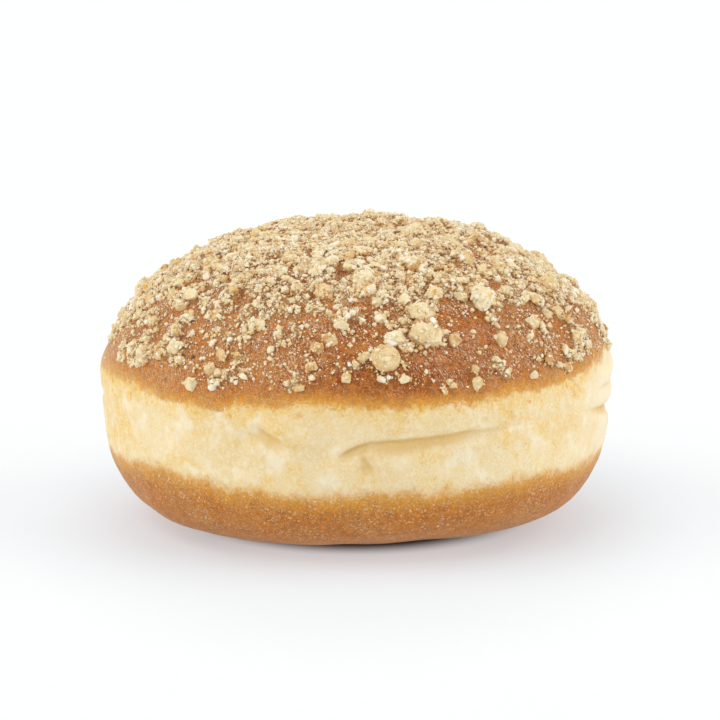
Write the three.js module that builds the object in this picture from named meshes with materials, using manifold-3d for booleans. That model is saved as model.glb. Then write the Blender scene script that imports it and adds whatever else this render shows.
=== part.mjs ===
// A round yeast doughnut with no hole, fried on both sides and topped with chopped walnuts.
// It is one solid: the dough, with the walnut pieces and the rough layer of crumbs between them fused on.
// Millimetres, +Z up. The origin is the middle of the flat foot that it rests on, and the front faces -Y.
import * as THREE from "three";
import { mergeVertices } from "three/addons/utils/BufferGeometryUtils.js";
import Module from "manifold-3d";

// ---- Driving dimensions ----
const DIAMETER = 89.6; // across the pale belt
const BELT_HEIGHT = 27.3; // of the widest level above the foot
const DOME_RISE = 22.9; // from the widest level up to the bare crown
const BELLY_DEPTH = 27.8; // from the widest level down, before the foot is pressed flat
const DOME_ROUND = { across: 2.88, up: 1.8 }; // exponents of the meridian: 2 and 2 are an ellipse
const BELLY_ROUND = { across: 5.24, up: 3.05 };
const LEAN = 0.009; // rise of the whole bun towards its right side
const WAIST = { height: 19.5, reach: 5.5, depth: 0.5 }; // the belt is drawn in a little, all the way round
const CRUMB_LAYER = 0.7; // thickness of the layer of fine crumbs on the crown
const CRUMB_BUMPS = 0.35; // how uneven that layer is, up and down

// ---- How finely the solid is faceted ----
const COLUMNS = 16; // along each of the four sides of the wrapped box
const ROWS = 26; // from the edge of the foot up to the edge of the crown
const FOOT_SHARE = 0.21; // of the way along the meridian, from the middle of the foot to the middle of the crown
const CROWN_SHARE = 0.8;

// ---- The walnut pieces ----
// Those that stand out: azimuth from the front to the right, latitude, length, in degrees and millimetres.
const CHUNKS = [
  { azimuth: 16, latitude: 33, length: 5.6 },
  { azimuth: 6.5, latitude: 25.5, length: 4.8 },
  { azimuth: 19, latitude: 43.5, length: 5.2 },
  { azimuth: 37, latitude: 46, length: 4.8 },
  { azimuth: 3, latitude: 53, length: 4.6 },
  { azimuth: -5, latitude: 80, length: 4.2 },
  { azimuth: -19, latitude: 72, length: 3.8 },
  { azimuth: -54, latitude: 22, length: 3.6 },
  { azimuth: -33, latitude: 14, length: 4.0 },
  { azimuth: -63, latitude: 67, length: 4.2 },
  { azimuth: 66, latitude: 45, length: 4.0 },
  { azimuth: 24, latitude: 66, length: 4.4 },
  { azimuth: 120, latitude: 40, length: 5.0 },
  { azimuth: 163, latitude: 31, length: 4.6 },
  { azimuth: -150, latitude: 48, length: 5.2 },
  { azimuth: -112, latitude: 30, length: 4.4 },
];
const SPOTS = 215; // places tried for the other pieces
const LOWEST_SPOT = 0.17; // the sine of the lowest latitude they are tried at
const CHIP_LENGTH = { least: 2.2, most: 4.2 };
const CHIP_SUNK = 0.56; // of its thickness, below the crumb layer

const radius = DIAMETER / 2;
const degrees = Math.PI / 180;
const goldenAngle = Math.PI * (3 - Math.sqrt(5));

// ---- Small helpers ----

// A number from 0 to 1 that looks random and is the same in every run.
function draw(index, which) {
  const mixed = Math.sin(index * 127.1 + which * 311.7) * 43758.5453;
  return mixed - Math.floor(mixed);
}

function smooth(from, to, value) {
  const share = Math.min(1, Math.max(0, (value - from) / (to - from)));
  return share * share * (3 - 2 * share);
}

// Soft unevenness between -1 and 1, from three waves that cross at odd angles.
function waves(point, length) {
  const turn = (2 * Math.PI) / length;
  const first = Math.sin(turn * (point.x + 0.6 * point.y - 0.3 * point.z) + 0.7);
  const second = Math.sin(turn * (1.1 * point.y - 0.5 * point.x + 0.8 * point.z) + 2.1);
  const third = Math.sin(turn * (0.9 * point.z + 0.7 * point.x + 0.4 * point.y) + 4.2);
  return (first + second + third) / 3;
}

// ---- The dough ----

// The meridian at a latitude, as [distance from the axis, height]: half of a squashed, squared-off ellipse.
function meridian(latitude) {
  const up = latitude > 0;
  const round = up ? DOME_ROUND : BELLY_ROUND;
  const out = radius * Math.max(0, Math.cos(latitude)) ** (2 / round.across);
  const rise = Math.abs(Math.sin(latitude)) ** (2 / round.up);
  return [out, BELT_HEIGHT + (up ? DOME_RISE : -BELLY_DEPTH) * rise];
}

// The same meridian walked from the foot to the crown, so that rows can be spread evenly along it.
const WALK_STEPS = 600;
const walk = [];
for (let step = 0; step <= WALK_STEPS; step++) {
  const across = (2 * step) / WALK_STEPS - 1;
  const latitude = (Math.PI / 2) * Math.sign(across) * Math.abs(across) ** 1.8; // smaller steps at the belt
  const [out, height] = meridian(latitude);
  const last = walk.at(-1) ?? { out, height, length: 0 };
  walk.push({ latitude, out, height, length: last.length + Math.hypot(out - last.out, height - last.height) });
}

function latitudeAt(share) {
  const length = THREE.MathUtils.clamp(share, 0, 1) * walk.at(-1).length;
  const next = Math.max(1, walk.findIndex((stop) => stop.length >= length));
  const [from, to] = [walk[next - 1], walk[next]];
  return THREE.MathUtils.mapLinear(length, from.length, to.length, from.latitude, to.latitude);
}

// Folds in the soft belt: where each begins and ends round the belt, its height there, and its depth.
const FOLDS = [
  { from: -2, to: 48, low: 21.8, high: 24.0, depth: 1.1 },
  { from: 60, to: 104, low: 20.4, high: 19.4, depth: 0.6 },
  { from: 128, to: 196, low: 23.6, high: 20.4, depth: 0.9 },
  { from: 236, to: 282, low: 20.8, high: 23.8, depth: 0.8 },
  { from: -23, to: -11, low: 24.8, high: 20.2, depth: 0.9 },
];
const FOLD_WIDTH = 2.1;

function foldDepth(azimuth, height) {
  let depth = 0;
  for (const fold of FOLDS) {
    const turned = THREE.MathUtils.euclideanModulo(azimuth / degrees - fold.from, 360);
    const along = turned / (fold.to - fold.from);
    if (along > 1) continue;
    const middle = THREE.MathUtils.lerp(fold.low, fold.high, along);
    const fade = smooth(0, 0.12, along) * smooth(1, 0.5, along);
    const away = (height - middle) / FOLD_WIDTH;
    depth += fold.depth * fade * Math.exp(-away * away);
  }
  return depth;
}

// Broad swellings (and, below 0, flats) of the dough: azimuth, latitude, how far they reach, and how much.
const SWELLS = [
  { azimuth: -50, latitude: -38, reach: 24, rise: 0.4 },
  { azimuth: 8, latitude: -64, reach: 30, rise: -1.5 },
  { azimuth: -84, latitude: 6, reach: 22, rise: 0.4 },
  { azimuth: 196, latitude: -20, reach: 30, rise: 0.5 },
];

// Bumps of the given kind at an azimuth and latitude, each fading out at its reach.
function bumps(kind, azimuth, latitude) {
  let rise = 0;
  for (const bump of kind) {
    const turn = THREE.MathUtils.euclideanModulo(azimuth / degrees - bump.azimuth + 180, 360) - 180;
    const across = turn * Math.cos(bump.latitude * degrees);
    const away = Math.hypot(across, latitude / degrees - bump.latitude) / bump.reach;
    rise += bump.rise * Math.exp(-2 * away * away);
  }
  return rise;
}

// Where the topping is: 1 on the crown, thinning out to 0 down the sides, and reaching less far down in front.
function topping(azimuth, latitude) {
  const front = Math.max(0, Math.cos(azimuth)) ** 2;
  const none = 13 + 4 * Math.sin(3 * azimuth + 0.6);
  const full = 27 + 20 * front;
  return smooth(none, full, latitude / degrees);
}

// A point of the dough, or above it by lift, at an azimuth and latitude.
function onDough(azimuth, latitude, lift = 0) {
  const [out, height] = meridian(latitude);
  const round = 1 + 0.004 * Math.cos(2 * azimuth - 0.7) + 0.003 * Math.cos(3 * azimuth + 0.4);
  const side = out * round * Math.sin(azimuth);
  const point = new THREE.Vector3(side, -out * round * Math.cos(azimuth), height + LEAN * side);
  const waist = WAIST.depth * Math.exp(-(((height - WAIST.height) / WAIST.reach) ** 2));
  const uneven = 0.35 * waves(point, 34) + 0.2 * waves(point, 15) + bumps(SWELLS, azimuth, latitude);
  const outward = uneven - waist - foldDepth(azimuth, height) + lift;
  const slope = new THREE.Vector3(
    Math.cos(latitude) * Math.sin(azimuth),
    -Math.cos(latitude) * Math.cos(azimuth),
    Math.sin(latitude),
  );
  point.addScaledVector(slope, outward);
  point.z = Math.max(0, point.z);
  return point;
}

// Places where the crumbs are heaped up.
const HEAPS = [
  { azimuth: 108, latitude: 71, reach: 11, rise: 1.2 },
  { azimuth: -104, latitude: 61, reach: 9, rise: 0.9 },
  { azimuth: -20, latitude: 58, reach: 14, rise: 0.5 },
  { azimuth: 170, latitude: 60, reach: 16, rise: 0.7 },
];

// Thickness of the crumb layer.
function crumbs(azimuth, latitude) {
  const bare = onDough(azimuth, latitude);
  const thickness = CRUMB_LAYER + CRUMB_BUMPS * (waves(bare, 6.5) + waves(bare, 4.1));
  return topping(azimuth, latitude) * (thickness + bumps(HEAPS, azimuth, latitude));
}

// The dough with its layer of crumbs, as a box whose faces are wrapped round into a bun.
function doughShape() {
  const box = new THREE.BoxGeometry(2, 2, 2, COLUMNS, COLUMNS, ROWS);
  const place = box.getAttribute("position");
  for (let i = 0; i < place.count; i++) {
    const [x, y, z] = [place.getX(i), place.getY(i), place.getZ(i)];
    const inward = 1 - Math.max(Math.abs(x), Math.abs(y)); // above 0 only on the top and bottom faces
    const azimuth = Math.atan2(x, -y);
    let share = THREE.MathUtils.mapLinear(z, -1, 1, FOOT_SHARE, CROWN_SHARE);
    if (z === 1) share += inward * (1 - CROWN_SHARE);
    if (z === -1) share -= inward * FOOT_SHARE;
    const latitude = latitudeAt(share);
    const point = onDough(azimuth, latitude, crumbs(azimuth, latitude));
    place.setXYZ(i, point.x, point.y, point.z);
  }
  return box;
}

// ---- The walnut pieces ----

// One chopped piece with its corners pushed about: a 20-sided lump when it is large, otherwise a 6-sided bit.
function chipShape(index, length, large) {
  const chip = mergedShape(large ? new THREE.IcosahedronGeometry(0.5, 0) : new THREE.BoxGeometry(0.7, 0.7, 0.8));
  const place = chip.getAttribute("position");
  const width = length * (0.62 + 0.3 * draw(index, 11));
  const thickness = length * (0.5 + 0.25 * draw(index, 12));
  for (let i = 0; i < place.count; i++) {
    const push = 0.75 + 0.5 * draw(index * 13 + i, 17);
    place.setXYZ(i, place.getX(i) * push * length, place.getY(i) * push * width, place.getZ(i) * push * thickness);
  }
  chip.rotateZ(2 * Math.PI * draw(index, 19));
  chip.rotateX(0.9 * (draw(index, 23) - 0.5));
  return { chip, thickness };
}

// The piece laid on the topping, its flat side along the surface.
function chipOnDough(index, azimuth, latitude, length, large) {
  const { chip, thickness } = chipShape(index, length, large);
  const lift = crumbs(azimuth, latitude) + (0.5 - CHIP_SUNK) * thickness;
  const here = onDough(azimuth, latitude, lift);
  const above = onDough(azimuth, latitude, lift + 1);
  const turn = new THREE.Quaternion().setFromUnitVectors(new THREE.Vector3(0, 0, 1), above.sub(here).normalize());
  chip.applyQuaternion(turn);
  chip.translate(here.x, here.y, here.z);
  return chip;
}

// Every piece: the chunks, then chips on a spiral of even spots down the dome, kept where the topping is.
function walnutPieces() {
  const pieces = CHUNKS.map((chunk, index) =>
    chipOnDough(1000 + index, chunk.azimuth * degrees, chunk.latitude * degrees, chunk.length, true),
  );
  for (let i = 0; i < SPOTS; i++) {
    const azimuth = i * goldenAngle + 0.5 * (draw(i, 1) - 0.5);
    const latitude = Math.asin(THREE.MathUtils.lerp(1, LOWEST_SPOT, ((i + 0.5) / SPOTS) ** 1.6));
    if (draw(i, 2) > topping(azimuth, latitude)) continue;
    const length = THREE.MathUtils.lerp(CHIP_LENGTH.least, CHIP_LENGTH.most, draw(i, 3) ** 1.6);
    pieces.push(chipOnDough(i, azimuth, latitude, length, false));
  }
  return pieces;
}

// ---- Joining ----

// The same shape with only its positions, and with its shared corners merged.
function mergedShape(geometry) {
  geometry.deleteAttribute("normal");
  geometry.deleteAttribute("uv");
  return mergeVertices(geometry, 1e-4);
}

const wasm = await Module();
wasm.setup();

function solidOf(geometry) {
  const merged = mergedShape(geometry);
  const vertProperties = new Float32Array(merged.getAttribute("position").array);
  const triVerts = new Uint32Array(merged.index.array);
  return new wasm.Manifold(new wasm.Mesh({ numProp: 3, vertProperties, triVerts }));
}

function geometryOf(solid) {
  const mesh = solid.getMesh();
  const geometry = new THREE.BufferGeometry();
  geometry.setAttribute("position", new THREE.BufferAttribute(mesh.vertProperties, mesh.numProp));
  geometry.setIndex(new THREE.BufferAttribute(mesh.triVerts, 1));
  geometry.computeVertexNormals();
  return geometry;
}

// The largest of the closed skins of a solid: this drops loose bits, and fills any hollow sealed between pieces.
function largestSkin(solid) {
  const skins = solid.decompose();
  return skins.reduce((largest, skin) => (skin.volume() > largest.volume() ? skin : largest));
}

function doughnut() {
  let solid = solidOf(doughShape());
  for (const piece of walnutPieces()) solid = solid.add(solidOf(piece));
  solid = largestSkin(solid);
  const crust = new THREE.MeshStandardMaterial({ color: 0xc08a55, roughness: 0.6, metalness: 0 });
  const mesh = new THREE.Mesh(geometryOf(solid), crust);
  mesh.name = "doughnut";
  return mesh;
}

const part = new THREE.Group();
part.add(doughnut());

export default part;
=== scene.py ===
# %% [markdown]
# # A round doughnut under chopped walnuts
# The real thing is a ball of yeast dough, proved and then fried on one side and on the other. What touched the oil
# is brown, and what stayed above it both times is the pale soft belt. While the top was still tacky it was pressed
# into chopped walnuts. The scene loads the measured solid first, and dresses it with one fine skin of dough and
# with the walnuts, sorted by size as a sieve would sort them. All measures are millimetres, turned into metres
# only when a mesh is written.

# %% Load the frame
import math

import bpy
import numpy as np
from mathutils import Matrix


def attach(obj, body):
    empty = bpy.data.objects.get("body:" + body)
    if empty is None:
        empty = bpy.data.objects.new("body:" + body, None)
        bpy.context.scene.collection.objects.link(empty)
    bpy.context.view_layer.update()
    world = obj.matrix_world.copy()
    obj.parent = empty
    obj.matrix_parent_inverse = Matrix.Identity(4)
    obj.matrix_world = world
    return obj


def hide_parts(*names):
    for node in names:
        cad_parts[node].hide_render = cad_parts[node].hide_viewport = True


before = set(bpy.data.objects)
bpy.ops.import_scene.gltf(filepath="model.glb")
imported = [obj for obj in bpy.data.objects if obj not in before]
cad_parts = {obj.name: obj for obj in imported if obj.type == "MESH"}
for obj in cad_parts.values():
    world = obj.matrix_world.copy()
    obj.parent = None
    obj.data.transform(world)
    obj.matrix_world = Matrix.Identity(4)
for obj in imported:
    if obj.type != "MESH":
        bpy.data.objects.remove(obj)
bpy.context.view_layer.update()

MM = 0.001
rng = np.random.default_rng(52)

# %% [markdown]
# ## The bun's outline
# Turned about its axis, the bun is half of a squashed ellipse whose corners are squared off. Squared-off ellipses
# need only two exponents for each half, so the whole outline is eight numbers, and any point on it can be asked for
# by its azimuth (0 at the front, 90 at the right) and its latitude (0 at the belt, 90 at the crown).

# %% The meridian
DIAMETER = 89.6
BELT_HEIGHT = 27.3
DOME_RISE, BELLY_DEPTH = 22.9, 27.8
DOME_ROUND, BELLY_ROUND = (2.88, 1.8), (5.24, 3.05)
LEAN = 0.009  # the bun rises a little towards its right side
SIDE = DIAMETER / 2


def meridian(latitude):
    """Distance from the axis and height at latitudes in radians. The radius is cos(latitude) to a power less than
    1, and the rise is sin(latitude) to another, with one pair of powers above the belt and one below it."""
    dome = latitude > 0
    across = np.where(dome, 2 / DOME_ROUND[0], 2 / BELLY_ROUND[0])
    up = np.where(dome, 2 / DOME_ROUND[1], 2 / BELLY_ROUND[1])
    out = SIDE * np.maximum(0, np.cos(latitude)) ** across
    return out, BELT_HEIGHT + np.where(dome, DOME_RISE, -BELLY_DEPTH) * np.abs(np.sin(latitude)) ** up


steps = np.linspace(-1, 1, 6001)
walk_latitude = np.pi / 2 * np.sign(steps) * np.abs(steps) ** 1.8  # smaller steps at the belt, where it turns fast
walk_out, walk_height = meridian(walk_latitude)
walk_length = np.append(0, np.cumsum(np.hypot(np.diff(walk_out), np.diff(walk_height))))
print("foot to crown along the skin, mm:", round(walk_length[-1], 1))

# %% [markdown]
# ## Uneven dough
# Dough proves unevenly. Three crossing waves give soft unevenness, a short list of swellings gives the places where
# the real bun bulges or sits flat, and noise on a lattice gives smaller lumps. Each is a plain function of position,
# so the skin, the crumbs and the masks all agree about where the surface is.

# %% Waves, swellings and lumps
WAIST = (19.5, 5.5, 0.5)  # height, reach and depth of the slight waist round the belt
SWELLS = [  # azimuth, latitude, reach, rise
    (-50, -38, 24, 0.4),
    (8, -64, 30, -1.5),
    (-84, 6, 22, 0.4),
    (196, -20, 30, 0.5),
    (-94, 24, 20, -1.2),
    (-102, 47, 16, -1.8),
    (-108, 62, 12, -0.6),
    (93, 17, 15, -1.5),
    (102, 47, 16, -1.1),
    (106, 58, 12, -0.3),
]


def waves(point, length):
    """Soft unevenness from -1 to 1: the mean of three sine waves that cross at odd angles."""
    x, y, z = np.moveaxis(point, -1, 0)
    turn = 2 * np.pi / length
    first = np.sin(turn * (x + 0.6 * y - 0.3 * z) + 0.7)
    second = np.sin(turn * (1.1 * y - 0.5 * x + 0.8 * z) + 2.1)
    third = np.sin(turn * (0.9 * z + 0.7 * x + 0.4 * y) + 4.2)
    return (first + second + third) / 3


def turned(azimuth, middle):
    """Degrees from one azimuth to another, the short way round."""
    return (azimuth - middle + 180) % 360 - 180


def bumps(places, azimuth, latitude):
    """The sum of round bumps, each exp(-2 d^2) with d the distance from its middle over its reach."""
    total = np.zeros(np.broadcast(azimuth, latitude).shape)
    for middle, level, reach, rise in places:
        across = turned(np.degrees(azimuth), middle) * math.cos(math.radians(level))
        total += rise * np.exp(-2 * (across**2 + (np.degrees(latitude) - level) ** 2) / reach**2)
    return total


def lumps(point, size, seed=0):
    """Soft noise from -1 to 1: a random number at each corner of a lattice, blended between them by a smooth step."""
    place = point / size + 31.7 * seed + 500
    cell = np.floor(place)
    share = place - cell
    share = share * share * (3 - 2 * share)
    total = 0
    for corner in np.ndindex(2, 2, 2):
        mixed = np.sin((cell + corner) @ (12.9898, 78.233, 37.719)) * 43758.5453
        weight = np.prod(np.where(corner, share, 1 - share), axis=-1)
        total = total + weight * (mixed - np.floor(mixed))
    return 2 * total - 1


def smooth(low, high, value):
    """0 below low and 1 above high, with a soft S between."""
    share = np.clip((value - low) / (high - low), 0, 1)
    return share * share * (3 - 2 * share)


def bare_dough(azimuth, latitude, lift=0.0):
    """Points of the bun's skin, moved outward by lift: the meridian turned about the axis, slightly out of round and
    leaning, then swollen or drawn in along the outward direction, and pressed flat where it meets the table."""
    out, height = meridian(latitude)
    out = out * (1 + 0.004 * np.cos(2 * azimuth - 0.7) + 0.003 * np.cos(3 * azimuth + 0.4))
    side = out * np.sin(azimuth)
    point = np.stack([side, -out * np.cos(azimuth), height + LEAN * side], -1)
    waist = WAIST[2] * np.exp(-(((height - WAIST[0]) / WAIST[1]) ** 2))
    uneven = 0.35 * waves(point, 34) + 0.2 * waves(point, 15) + bumps(SWELLS, azimuth, latitude)
    level = np.cos(latitude)
    slope = np.stack([level * np.sin(azimuth), -level * np.cos(azimuth), np.sin(latitude) + 0 * azimuth], -1)
    point = point + slope * (uneven - waist + lift)[..., None]
    point[..., 2] = np.maximum(0, point[..., 2])
    return point


# %% [markdown]
# ## Creases in the soft belt
# As the bun swells in the oil, the belt stretches and then sinks back in creases. A crease is a curve drawn on the
# side of the bun. On one side of it the dough hangs over as a soft lip, and on the other it ramps slowly down into
# the fold. It could be sculpted by hand, but a curve, a depth and two widths give the same fold and can be adjusted.

# %% Creases
CREASES = [  # curve points as (azimuth, height), depth, ramp width at both ends, lip, wall width, fades in and out
    ([(1.8, 22.2), (13, 22.8), (28, 23.2), (50, 24.9)], 0.62, (3.4, 1.0), 0.3, 0.6, (0.1, 0.65)),
    ([(-5.2, 19.3), (-2, 20.7), (0.2, 21.7), (4.4, 22.5)], 0.6, (1.4, 1.8), 0.2, 0.5, (0.4, 0.25)),
    ([(0.0, 20.6), (1.4, 19.6), (2.8, 18.2), (5.0, 16.4)], 0.6, (1.2, 2.6), 0.35, 1.0, (0.4, 0.5)),
    ([(-23, 25.0), (-20, 23.4), (-17, 21.8), (-12, 20.2)], 0.58, (3.6, 1.8), 0.5, 0.9, (0.3, 0.5)),
    ([(62, 23.0), (74, 21.6), (86, 20.5), (106, 19.6)], 0.6, (1.6, 1.6), 0.3, 0.6, (0.4, 0.4)),
    ([(66, 26.2), (76, 25.3), (86, 25.0), (98, 25.2)], 0.35, (1.8, 1.2), 0.2, 0.9, (0.4, 0.4)),
    ([(126, 23.8), (150, 22.6), (172, 21.2), (198, 20.4)], 0.9, (2.8, 1.0), 0.35, 0.5, (0.1, 0.5)),
    ([(157, 22.2), (162, 20.6), (166, 19.0), (172, 17.6)], 0.5, (1.6, 1.4), 0.3, 1.2, (0.1, 0.5)),
    ([(205, 25.0), (210, 23.0), (214, 21.4), (221, 20.2)], 0.7, (2.4, 1.4), 0.4, 1.0, (0.3, 0.4)),
    ([(234, 20.6), (250, 22.2), (266, 23.2), (286, 23.9)], 0.8, (2.4, 1.0), 0.3, 0.6, (0.2, 0.5)),
]
LINE_WIDTH, LIP_START, LIP_REACH = 0.3, 1.1, 3.4
SOFT_FORMS = [  # azimuth, height, reach and rise of the soft lobes and hollows between the creases
    (-16, 23.8, 4.6, 0.8), (-25, 22.0, 3.2, -0.6), (-7.5, 20.2, 3.8, -1.0), (12, 17.2, 5.0, 0.6),
    (20, 26.2, 4.8, 0.35), (34, 18.8, 6.0, 0.3), (-38, 19.5, 6.5, 0.35), (58, 26.0, 5.0, 0.3), (80, 17.5, 4.0, 0.4),
    (140, 18.5, 6.0, 0.4), (168, 25.4, 5.0, 0.4), (-160, 19.0, 5.0, 0.35), (-120, 25.5, 6.0, 0.4),
    (-85, 19.0, 6.0, 0.3),
]


def curve_through(points, count=40):
    """A Bezier curve: its four points weighted by the terms of (1 - t + t) cubed."""
    t = np.linspace(0, 1, count)[:, None]
    first, second, third, last = np.array(points, float)
    return (1 - t) ** 3 * first + 3 * t * (1 - t) ** 2 * second + 3 * t * t * (1 - t) * third + t**3 * last


def signed_gap(curve, x, y):
    """Distance to a curve, above 0 on its left, and the share of its length at the nearest place."""
    here = np.stack([x, y], -1)[:, None]
    start, way = curve[:-1], np.diff(curve, axis=0)
    along = np.clip(((here - start) * way).sum(-1) / (way**2).sum(-1), 0, 1)
    gap = here - (start + along[..., None] * way)
    nearest = np.hypot(*np.moveaxis(gap, -1, 0)).argmin(1)
    row = np.arange(len(nearest))
    offset, step = gap[row, nearest], way[nearest]
    side = np.sign(step[:, 0] * offset[:, 1] - step[:, 1] * offset[:, 0])
    return side * np.hypot(offset[:, 0], offset[:, 1]), (nearest + along[row, nearest]) / len(way)


def crease_relief(azimuth, height):
    """How far each point is pushed in (below 0) or out by the creases, and how much it lies on a cut line. The ramp
    is (1 + gap / width) to the power 0.45, flat in the fold and with a soft edge, and the lip is a shoulder beyond
    the wall."""
    relief, line = np.zeros(azimuth.shape), np.zeros(azimuth.shape)
    for points, depth, ramps, lip, wall, (fade_in, fade_out) in CREASES:
        middle = sum(p[0] for p in points) / 4
        curve = curve_through([(math.radians(a - middle) * SIDE, h) for a, h in points])
        x = np.radians(turned(np.degrees(azimuth), middle)) * SIDE
        near = (np.abs(x) < 8 + np.abs(curve[:, 0]).max()) & (height > 8) & (height < 34)
        shaken = np.stack([x[near] + 9 * depth, height[near], 0 * x[near]], -1)  # another place for each depth
        shake = 0.3 * lumps(shaken, 5, 11) + 0.12 * lumps(shaken, 1.2, 12)
        gap, t = signed_gap(curve, x[near], height[near] + shake)
        fade = smooth(0, fade_in, t + 0.01) * smooth(1, 1 - fade_out, t)
        width = ramps[0] + (ramps[1] - ramps[0]) * t
        inside = -smooth(0, 1, np.clip(1 + gap / width, 0, 1) ** 0.45)
        edge = 0.3 * np.exp(-(((gap + width + 0.7) / 0.9) ** 2))
        shoulder = lip * (1 - np.exp(-((gap / LIP_START) ** 2))) * np.exp(-((gap / LIP_REACH) ** 2))
        relief[near] += depth * fade * np.where(gap < 0, inside + edge, shoulder - np.exp(-((gap / wall) ** 2)))
        line[near] = np.maximum(line[near], fade * LINE_WIDTH / wall * np.exp(-((gap / LINE_WIDTH) ** 2)))
    return relief, line


def soft_forms(azimuth, height):
    """The sum of lobes and hollows, each rise times exp(-2 (distance / reach) squared) on the side of the bun."""
    total = np.zeros(azimuth.shape)
    for middle, level, reach, rise in SOFT_FORMS:
        across = np.radians(turned(np.degrees(azimuth), middle)) * SIDE
        total += rise * np.exp(-2 * (across**2 + (height - level) ** 2) / reach**2)
    return total


# %% [markdown]
# ## Where it browned and where the walnuts lie
# The edge of each brown crust wanders, because the bun bobs as it fries. Its height was read off the photographed
# side every 15 degrees or so, and it goes on in the same way round the back. The walnuts cover the crown, thin out
# in front to loose crumbs with bare crust between, and reach further down at the sides.

# %% Edges of the crusts, and the covered area
TOP_EDGE = [(-150, 28.8), (-110, 29.2), (-78, 28.6), (-60, 28.3), (-44, 27.4), (-34, 27.2), (-24, 28.0), (-12, 29.1),
            (9, 28.4), (20, 28.7), (43, 29.4), (58, 29.9), (78, 31.6), (110, 30.6), (150, 29.0), (180, 28.2)]
LOW_EDGE = [(-150, 14.0), (-110, 13.4), (-76, 13.2), (-54, 14.6), (-40, 14.3), (-29, 13.1), (0, 13.2), (21, 13.3),
            (45, 14.1), (62, 13.4), (90, 12.9), (140, 13.8), (180, 13.4)]
THIN_SPOTS = [(30, 39, 12, -0.42), (21, 23, 9, -0.35), (-8, 33, 11, -0.2), (-50, 12, 12, -0.25), (36, 29, 9, -0.28),
              (0, 16, 8, -0.2), (150, 26, 12, -0.3), (-140, 30, 14, -0.25), (105, 22, 9, -0.3),
              (-75, 18, 13, -0.45)]
# How much browner the crust is, as bumps of azimuth, latitude, reach and rise: darker in front, and lighter at the
# sides, where it fried less and where the lighter colour is also painted sheen.
BROWNING_AND_SHEEN = [(12, 14, 38, 0.36), (-60, 18, 34, -0.4), (80, 20, 28, -0.3), (165, 12, 40, 0.4), (-130, 20, 30, -0.25)]
THICK_SPOTS = [(-33, 13, 5, 0.5), (8, 27, 7, 0.4), (35, 14, 4, 0.3), (-77, 8, 6, 0.35), (18, 34, 5, 0.3)]
HEAPS = [(108, 71, 11, 1.0), (-20, 58, 14, 0.5), (170, 60, 16, 0.7)]


def edge_height(edge, azimuth):
    """The height of a crust's edge at an azimuth, read between the listed ones, round and round."""
    return np.interp(np.degrees(azimuth), *np.array(edge).T, period=360)


def covered(azimuth, latitude):
    """Share of the skin hidden by walnuts: crumbs begin low down, and close up towards the crown, which happens
    lower at the sides than in front."""
    degrees = np.degrees(latitude)
    around = np.abs(turned(np.degrees(azimuth), 12))
    beside = smooth(45, 82, around) * (1 - 0.35 * smooth(100, 150, around))
    share = (0.36 + 0.38 * beside) * smooth(9, 19, degrees) + (0.42 - 0.36 * beside) * smooth(28, 50, degrees)
    return share + bumps(THIN_SPOTS + THICK_SPOTS, azimuth, latitude)


def clumps(point):
    """How the walnuts bunch together: noise from about -0.7 to 0.7 in lumps of three sizes."""
    return 0.4 * lumps(point, 4.2, 5) + 0.42 * lumps(point, 2.1, 6) + 0.25 * lumps(point, 1.0, 7)


def bed(azimuth, latitude):
    """How much of the skin is packed with meal, from 0 to 1, and how thick that lumpy bed is."""
    point = bare_dough(azimuth, latitude)
    share = covered(azimuth, latitude) + clumps(point)
    packed = smooth(0.45, 0.65, share) * smooth(5, 11, np.degrees(latitude))
    heaped = 0.4 * smooth(0.45, 1.1, share) + 0.75 * smooth(-0.1, 0.6, lumps(point, 3.2, 8))
    mounds = heaped + bumps(HEAPS, azimuth, latitude)
    return packed, packed * mounds


for name, angle in (("front", 0), ("right", 90), ("back", 180)):
    shares = covered(np.radians(angle), np.radians([15, 30, 45, 60]))
    print(name, "covered at 15, 30, 45 and 60 degrees up:", np.round(shares, 2))

# %% [markdown]
# ## The skin of dough
# The skin is a grid of rows round the axis and columns from foot to crown, closed by one point at each end. Rows are
# spread along the skin's length, and closer together at the belt, where the creases need them. Each point also
# carries what the material has to know: its height above the top edge and below the low edge of the pale belt, how
# deep in a crease it is, and how much walnut lies on it.

# %% Mesh helper
def make_piece(name, points, faces, material, marks=None, uv=None, sharp=0):
    """A mesh object from points in millimetres and triangles. Marks are named values per point that materials can
    read, uv gives one pair of metres per face corner, and edges that turn by more than sharp degrees stay sharp."""
    mesh = bpy.data.meshes.new(name)
    mesh.vertices.add(len(points))
    mesh.vertices.foreach_set("co", (points * MM).astype(np.float32).ravel())
    mesh.loops.add(faces.size)
    mesh.loops.foreach_set("vertex_index", faces.astype(np.int32).ravel())
    mesh.polygons.add(len(faces))
    mesh.polygons.foreach_set("loop_start", np.arange(0, faces.size, 3, dtype=np.int32))
    mesh.polygons.foreach_set("use_smooth", np.ones(len(faces), bool))
    for label, values in (marks or {}).items():
        mark = mesh.attributes.new(label, "FLOAT", "POINT")
        mark.data.foreach_set("value", np.asarray(values, np.float32).ravel())
    if uv is not None:
        mesh.uv_layers.new(name="skin").data.foreach_set("uv", uv.astype(np.float32).ravel())
    mesh.update(calc_edges=True)
    if sharp:
        mesh.set_sharp_from_angle(angle=math.radians(sharp))
    mesh.materials.append(material)
    piece = bpy.data.objects.new(name, mesh)
    bpy.context.collection.objects.link(piece)
    print(f"{name}: {len(faces)} triangles, {len(points)} points")
    return piece


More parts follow.
